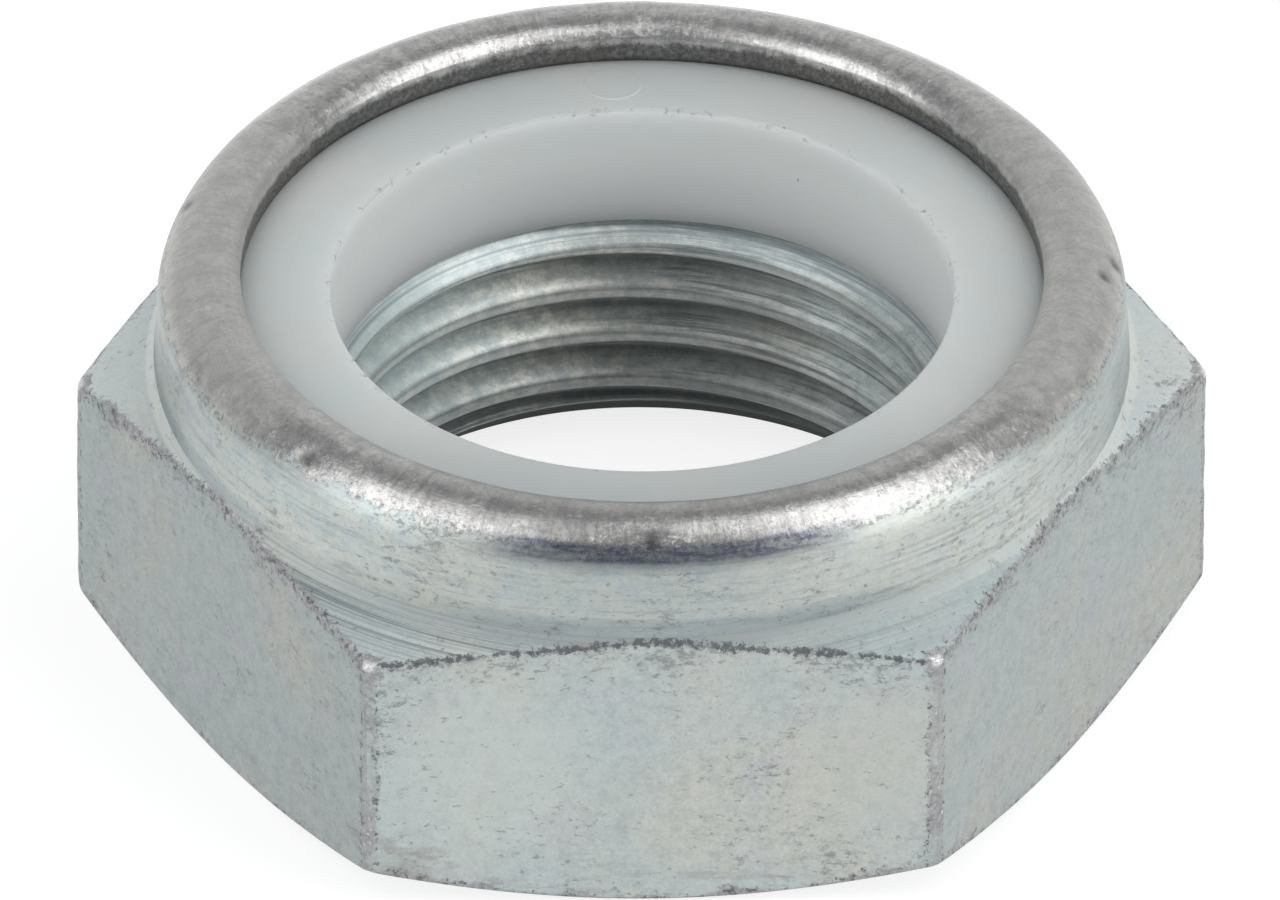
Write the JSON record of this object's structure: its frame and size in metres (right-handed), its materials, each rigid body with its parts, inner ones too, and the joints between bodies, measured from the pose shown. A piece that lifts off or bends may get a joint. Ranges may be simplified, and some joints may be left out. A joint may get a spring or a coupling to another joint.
{
  "type": "nylon insert lock nut",
  "caption": "Thin hexagon lock nut with a round collar rolled over a nylon ring, for a fine metric thread.",
  "frame": {"origin": "centre of the bearing face, on the thread axis", "axes": "+Z along the thread axis from the bearing face towards the nylon insert; two corners of the hexagon lie on the X axis and two of its flats face +Y and -Y"},
  "size_m": [0.0414, 0.036, 0.016],
  "materials": {
    "zinc_plated_steel": "zinc plated with a clear blue passivate, satin, fine turning marks, worn dull grey along the edges and the rolled lip",
    "nylon": "moulded natural nylon, smooth, slightly translucent grey-white"
  },
  "bodies": {
    "root": {"nut_body": "zinc_plated_steel", "nylon_insert": "nylon"}
  },
  "joints": []
}
